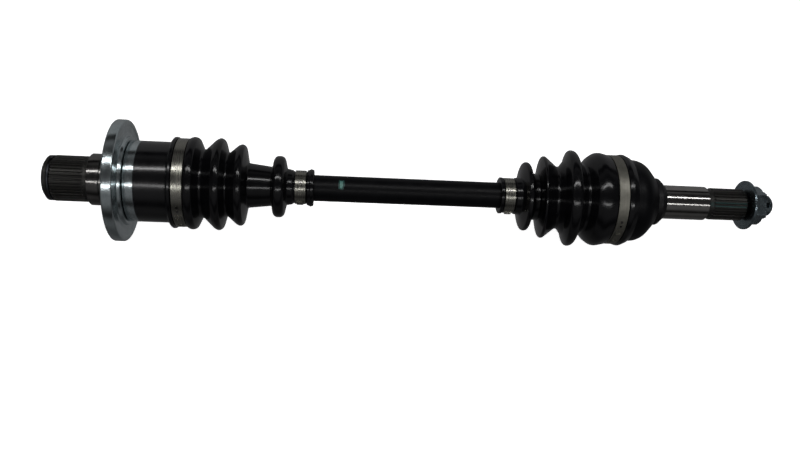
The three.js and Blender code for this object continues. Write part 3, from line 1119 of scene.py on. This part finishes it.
class CVAXLE_OT_outboard_bell(bpy.types.Operator):
    """Build the outboard forging: bell, ground journal and splined stub"""

    bl_idname = "cv_axle.outboard_bell"
    bl_label = "Outboard forging"

    def execute(self, context):
        sizes = context.scene.cv_axle_sizes
        centre = OUTBOARD_CENTRE
        inner_r = 32.7
        lip_deg = math.degrees(math.acos(-9 / inner_r))
        inside = [(centre + inner_r, 0)]
        for k in range(1, 15):
            angle = math.radians(lip_deg * k / 14)
            x = inner_r * math.cos(angle)
            r = inner_r * math.sin(angle)
            in_track = x < 22
            inside.append((centre + x, lobed(r, curved_track(x, 29.0, 10.2)) if in_track else r))
        outside = rounded(
            [
                (BELL_X, 36.5),
                (BELL_X, 42.3, 0.8),
                (574.0, 42.3),
                (592.6, 41.6, 19.0),
                (604.2, 28.6, 1.6),
                (COLLAR_X - 0.5, 25.8, 0.6),
                (COLLAR_X - 0.3, 22.6, 0.3),
                (COLLAR_X - 0.2, 17.5, 0.1),
                (663.4, 17.5, 0.4),
                (664.5, 15.7, 0.4),
                (668.8, 15.7),
            ]
        )
        tip = 16.5
        root = tip - sizes.tooth_depth / MM
        spline = teeth(sizes.outboard_teeth, tip, root)
        stub = [
            (669.0, root + 0.2),
            (670.2, spline),
            (703.4, spline),
            (705.0, root),
            (705.0, 10.0),
            (705.0, 0),
        ]

        def finish_at(x, r):
            if x < COLLAR_X and r > 24 and (x > 560 or r > 40):
                return 0
            if COLLAR_X < x < 663.9:
                return 1
            return 2 if x > 663.9 else 3

        shape = Shape().turn(inside + outside + stub, 8 * sizes.outboard_teeth, finish_at)
        names = ("satin_paint", "ground", "phosphate", "hardened")
        bell = shape.made("outboard_forging", [Finishes.get(n) for n in names])
        finish_piece(bell, "outboard_bell", "black_paint", "outboard_bell")

        pitch = sizes.thread_pitch / MM
        crest = 10.8
        outline = [(704.6, 0), (704.6, crest - 0.8)]
        x = 705.4
        while x < NUT_END - 2.4 - pitch:
            outline += [(x, crest - 0.9), (x + pitch * 0.45, crest), (x + pitch * 0.55, crest)]
            x += pitch
        outline += [(NUT_END - 2.2, crest - 0.6), (NUT_END - 0.9, crest - 1.8), (NUT_END, crest - 3.2)]
        outline += [(NUT_END, 2.6), (NUT_END - 2.4, 0)]
        thread = Shape().turn(outline, 96).made("outboard_thread", [Finishes.get("dark_zinc")])
        pin = rod("pin_hole", 40, 2.1, 24)
        pin_hole_x = 728.4
        turn = Matrix.Rotation(math.radians(FACING), 4, "X")
        pin.matrix_world = Matrix.Translation((pin_hole_x * MM, 0, 0)) @ turn
        cut(thread, pin)
        smooth(thread.data)
        finish_piece(thread, "outboard_bell", "phosphated_steel")
        return {"FINISHED"}


class CVAXLE_OT_seal_collar(bpy.types.Operator):
    """Build the collar pressed on the journal against the bell"""

    bl_idname = "cv_axle.seal_collar"
    bl_label = "Seal collar"

    def execute(self, context):
        bore = 17.7
        outline = rounded(
            [
                (COLLAR_X, bore),
                (COLLAR_X, COLLAR_R, 0.5),
                (COLLAR_X + 5.4, COLLAR_R, 1.6),
                (COLLAR_END - 1.8, 20.6, 1.2),
                (COLLAR_END - 0.9, 19.4, 0.5),
                (COLLAR_END, 18.9, 0.3),
                (COLLAR_END, bore),
            ]
        )
        shape = Shape().turn(outline, RING_SEGMENTS, closed=True)
        piece = shape.made("seal_collar_moulded", [Finishes.get("collar")])
        finish_piece(piece, "outboard_bell", "boot_rubber", "seal_collar")
        return {"FINISHED"}


class CVAXLE_OT_hub_nut(bpy.types.Operator):
    """Build the hub washer and the castle nut"""

    bl_idname = "cv_axle.hub_nut"
    bl_label = "Washer and castle nut"

    def execute(self, context):
        outline = rounded(
            [
                (WASHER_X, 11.4),
                (WASHER_X, WASHER_R, 0.6),
                (WASHER_END - 0.3, WASHER_R, 1.0),
                (WASHER_END, 22.6, 0.5),
                (WASHER_END, 11.4),
            ]
        )
        turned = Shape().turn(outline, RING_SEGMENTS, closed=True)
        washer = turned.made("hub_washer_turned", [Finishes.get("dark_zinc")])
        finish_piece(washer, "outboard_bell", "dark_zinc", "hub_washer")

        across = 17.5
        corner_off = math.radians(FACING)

        def hexagon(limit):
            def radius(angle):
                off = (angle - corner_off + math.pi / 6) % (math.pi / 3) - math.pi / 6
                return min(limit, across / math.cos(off))

            return radius

        bore = 11.1
        nut = [
            (NUT_X, bore),
            (NUT_X, 20.2),
            (NUT_X + 0.4, 20.6),
            (NUT_X + 1.4, 20.6),
            (NUT_X + 2.2, hexagon(20.2)),
            (NUT_X + 12.4, hexagon(20.2)),
            (NUT_X + 13.2, hexagon(19.0)),
            (NUT_X + 14.0, hexagon(17.4)),
            (NUT_X + 14.2, 14.4),
            (NUT_X + 14.6, 13.8),
            (NUT_END - 7.0, 13.7),
            (NUT_END - 5.6, 13.3),
            (NUT_END - 4.6, 12.6),
            (NUT_END - 4.2, 11.9),
            (NUT_END - 4.2, bore + 0.3),
            (NUT_END - 4.6, bore),
        ]
        piece = Shape().turn(nut, 144, closed=True).made("castle_nut_slotted", [Finishes.get("dark_zinc")])
        slot_floor_x, slot_width = 723.5, 5.2
        for k in range(3):  # each cut makes two slots, opposite each other
            work = bmesh.new()
            bmesh.ops.create_cube(work, size=1)
            mesh = bpy.data.meshes.new("slot")
            work.to_mesh(mesh)
            work.free()
            slot = bpy.data.objects.new("slot", mesh)
            context.scene.collection.objects.link(slot)
            length = 2 * (NUT_END - slot_floor_x)
            size = Matrix.Diagonal((length * MM, slot_width * MM, 60 * MM, 1))
            turn = Matrix.Rotation(math.radians(FACING + 60 * k), 4, "X")
            slot.matrix_world = Matrix.Translation((NUT_END * MM, 0, 0)) @ turn @ size
            cut(piece, slot)
        bevel = piece.modifiers.new("edges", "BEVEL")
        bevel.width = 0.25 * MM
        bevel.segments = 2
        bevel.angle_limit = math.radians(50)
        apply_modifiers(piece)
        smooth(piece.data)
        finish_piece(piece, "outboard_bell", "dark_zinc", "castle_nut")
        return {"FINISHED"}


class CVAXLE_OT_ball_joints(bpy.types.Operator):
    """Finish the races, cages and balls inside both joints, which keep their CAD shapes"""

    bl_idname = "cv_axle.ball_joints"
    bl_label = "Ball joints"

    def execute(self, context):
        for name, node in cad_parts.items():
            if node.hide_render:
                continue
            is_ball = "_ball_" in name
            node.data.materials.clear()
            node.data.materials.append(Finishes.get("bearing" if is_ball else "hardened"))
            node.data.polygons.foreach_set("use_smooth", [True] * len(node.data.polygons))
            if is_ball:
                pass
            else:
                node.data.set_sharp_from_angle(angle=SMOOTH_BELOW)
        return {"FINISHED"}


# ---------------------------------------------------------------- the stage


def strip_light(name, power, elevation, distance, length, width):
    """A long soft light parallel to the axle, at an elevation above -Y, aimed at its middle."""
    lamp = bpy.data.lights.new(name, "AREA")
    lamp.shape = "RECTANGLE"
    lamp.size = length
    lamp.size_y = width
    lamp.energy = power
    made = bpy.data.objects.new(name, lamp)
    bpy.context.scene.collection.objects.link(made)
    away = Vector((0, -math.cos(elevation), math.sin(elevation)))
    middle = Vector(((CAD_BOX[0].x + CAD_BOX[1].x) / 2, 0, 0))
    made.location = middle + away * distance
    across = Vector((1, 0, 0))
    up = away.cross(across)
    aim = Matrix((across, up, away)).transposed()
    made.rotation_euler = aim.to_euler()


class CVAXLE_OT_stage(bpy.types.Operator):
    """Build the floor, the backdrop, the lights and the camera"""

    bl_idname = "cv_axle.stage"
    bl_label = "Stage"

    def execute(self, context):
        settings = context.scene.cv_axle_stage
        self.floor()
        self.backdrop()
        self.world(context.scene)
        distance, length = 1.1, 2.0
        above, level = math.radians(78), math.radians(31)
        strip_light("upper_strip", settings.key_power, above, distance, length, 0.06)
        strip_light("lower_strip", settings.fill_power, level, distance, length, 0.05)
        self.camera(context.scene, settings)
        context.scene.view_settings.view_transform = "Standard"
        return {"FINISHED"}

    def floor(self):
        """A white table that touches the flange's rim and the outboard boot's largest fold."""
        flange_x = (FLANGE_X + FLANGE_END) / 2 * MM
        fold_x = 520.0 * MM
        flange_r = FLANGE_R * MM
        fold_r = 48.5 * MM
        slope = (flange_r - fold_r) / (fold_x - flange_x)
        half = 4.0
        mesh = bpy.data.meshes.new("table")
        corners = []
        for x, y in ((-half, -half), (half, -half), (half, half), (-half, half)):
            corners.append((x, y, -flange_r - 0.0002 + slope * (x - flange_x)))
        mesh.from_pydata(corners, [], [(0, 1, 2, 3)])
        table = bpy.data.objects.new("table", mesh)
        bpy.context.scene.collection.objects.link(table)
        paper = Finish("matte_white_paper", Roughness=0.9, Emission_Strength=0.93)
        paper.shader.inputs["Emission Color"].default_value = (1, 1, 1, 1)
        fibres = paper.mottle(3.0)
        paper.set("Base Color", paper.colour(fibres, srgb("#E9E9E9"), srgb("#F7F7F7")))
        mesh.materials.append(paper.material)
        table.visible_glossy = False
        table.visible_diffuse = False

    def backdrop(self):
        """A white dome round the table, which only the camera sees."""
        work = bmesh.new()
        bmesh.ops.create_icosphere(work, subdivisions=4, radius=9.0)
        mesh = bpy.data.meshes.new("backdrop")
        work.to_mesh(mesh)
        work.free()
        dome = bpy.data.objects.new("backdrop", mesh)
        bpy.context.scene.collection.objects.link(dome)
        cloth = Finish("white_backdrop_cloth", Roughness=1.0, Emission_Strength=1.0)
        cloth.shader.inputs["Emission Color"].default_value = (1, 1, 1, 1)
        cloth.shader.inputs["Base Color"].default_value = (0, 0, 0, 1)
        mesh.materials.append(cloth.material)
        for rays in ("visible_glossy", "visible_diffuse", "visible_shadow"):
            setattr(dome, rays, False)

    def world(self, scene):
        """The room that polished surfaces reflect, by the angle round the axle: the table, the dark
        gaps at its edges, and the pale walls and ceiling panels over it."""
        world = bpy.data.worlds.new("studio")
        scene.world = world
        world.use_nodes = True
        tree = world.node_tree
        place = add(tree, "ShaderNodeTexCoord")
        parts = add(tree, "ShaderNodeSeparateXYZ", {0: place.outputs["Generated"]})
        ahead = add(tree, "ShaderNodeMath", {0: parts.outputs[1], 1: -1.0}, operation="MULTIPLY")
        angle = add(tree, "ShaderNodeMath", {0: parts.outputs[2], 1: ahead.outputs[0]}, operation="ARCTAN2")
        turn = add(tree, "ShaderNodeMapRange", {0: angle.outputs[0], 1: -math.pi, 2: math.pi})
        bands = (
            (-178, 0.2),
            (-100, 0.09),
            (-66, 0.06),
            (-48, 0.11),
            (-38, 0.1),
            (-30, 0.02),
            (-23, 0.015),
            (-14, 0.07),
            (-4, 0.16),
            (10, 0.18),
            (24, 0.16),
            (40, 0.05),
            (72, 0.045),
            (92, 0.015),
            (103, 0.04),
            (112, 0.13),
            (119, 0.13),
            (123, 0.008),
            (134, 0.008),
            (139, 0.3),
            (178, 0.2),
        )
        stops = [((deg + 180) / 360, (level, level, level * 1.02, 1)) for deg, level in bands]
        room = add(tree, "ShaderNodeValToRGB", {0: turn.outputs[0]}, stops=stops)
        tree.links.new(room.outputs[0], tree.nodes["Background"].inputs["Color"])

    def camera(self, scene, settings):
        """A lens close to the axle, a little nearer its inboard end and rolled a little."""
        yaw = math.radians(4.75)
        roll = math.radians(2.07)
        aim_x = 0.3457
        axle_above_centre = 0.034
        level = Vector((0, math.cos(settings.elevation), -math.sin(settings.elevation)))
        upright = Vector((0, math.sin(settings.elevation), math.cos(settings.elevation)))
        along = Vector((1, 0, 0))
        forward = math.cos(yaw) * level + math.sin(yaw) * along
        right = math.cos(yaw) * along - math.sin(yaw) * level
        rolled_right = math.cos(roll) * right + math.sin(roll) * upright
        rolled_up = math.cos(roll) * upright - math.sin(roll) * right
        lens = bpy.data.cameras.new("camera")
        lens.lens = settings.lens
        lens.sensor_width = 36.0
        lens.clip_start = 0.05
        camera = bpy.data.objects.new("camera", lens)
        scene.collection.objects.link(camera)
        turn = Matrix((rolled_right, rolled_up, -forward)).transposed()
        camera.rotation_euler = turn.to_euler()
        middle = Vector((aim_x, 0, 0))
        camera.location = middle - settings.distance * forward - axle_above_centre * rolled_up
        scene.camera = camera


# ---------------------------------------------------------------- the add-on

OPERATORS = (
    CVAXLE_OT_stub_forging,
    CVAXLE_OT_deflector_flange,
    CVAXLE_OT_snap_rings,
    CVAXLE_OT_inboard_boot,
    CVAXLE_OT_outboard_boot,
    CVAXLE_OT_boot_clamps,
    CVAXLE_OT_axle_bar,
    CVAXLE_OT_outboard_bell,
    CVAXLE_OT_seal_collar,
    CVAXLE_OT_hub_nut,
    CVAXLE_OT_ball_joints,
    CVAXLE_OT_stage,
)


class CVAXLE_PT_panel(bpy.types.Panel):
    """Lists the axle's pieces, and the sizes and colours to change first"""

    bl_idname = "CVAXLE_PT_panel"
    bl_label = "CV axle"
    bl_space_type = "VIEW_3D"
    bl_region_type = "UI"
    bl_category = "CV axle"

    def draw(self, context):
        for group in ("cv_axle_sizes", "cv_axle_colours", "cv_axle_stage"):
            settings = getattr(context.scene, group)
            column = self.layout.column()
            for name in settings.bl_rna.properties.keys():
                if name not in ("rna_type", "name"):
                    column.prop(settings, name)
        for operator in OPERATORS:
            self.layout.operator(operator.bl_idname)


GROUPS = {
    "cv_axle_sizes": CVAXLE_PG_sizes,
    "cv_axle_colours": CVAXLE_PG_colours,
    "cv_axle_stage": CVAXLE_PG_stage,
}


def register():
    for made in (*GROUPS.values(), *OPERATORS, CVAXLE_PT_panel):
        bpy.utils.register_class(made)
    for name, group in GROUPS.items():
        setattr(bpy.types.Scene, name, PointerProperty(type=group))


def unregister():
    for name in GROUPS:
        delattr(bpy.types.Scene, name)
    for made in (CVAXLE_PT_panel, *OPERATORS, *GROUPS.values()):
        bpy.utils.unregister_class(made)


def main():
    register()
    for operator in OPERATORS:
        group, name = operator.bl_idname.split(".")
        getattr(getattr(bpy.ops, group), name)()


if __name__ == "__main__":
    main()
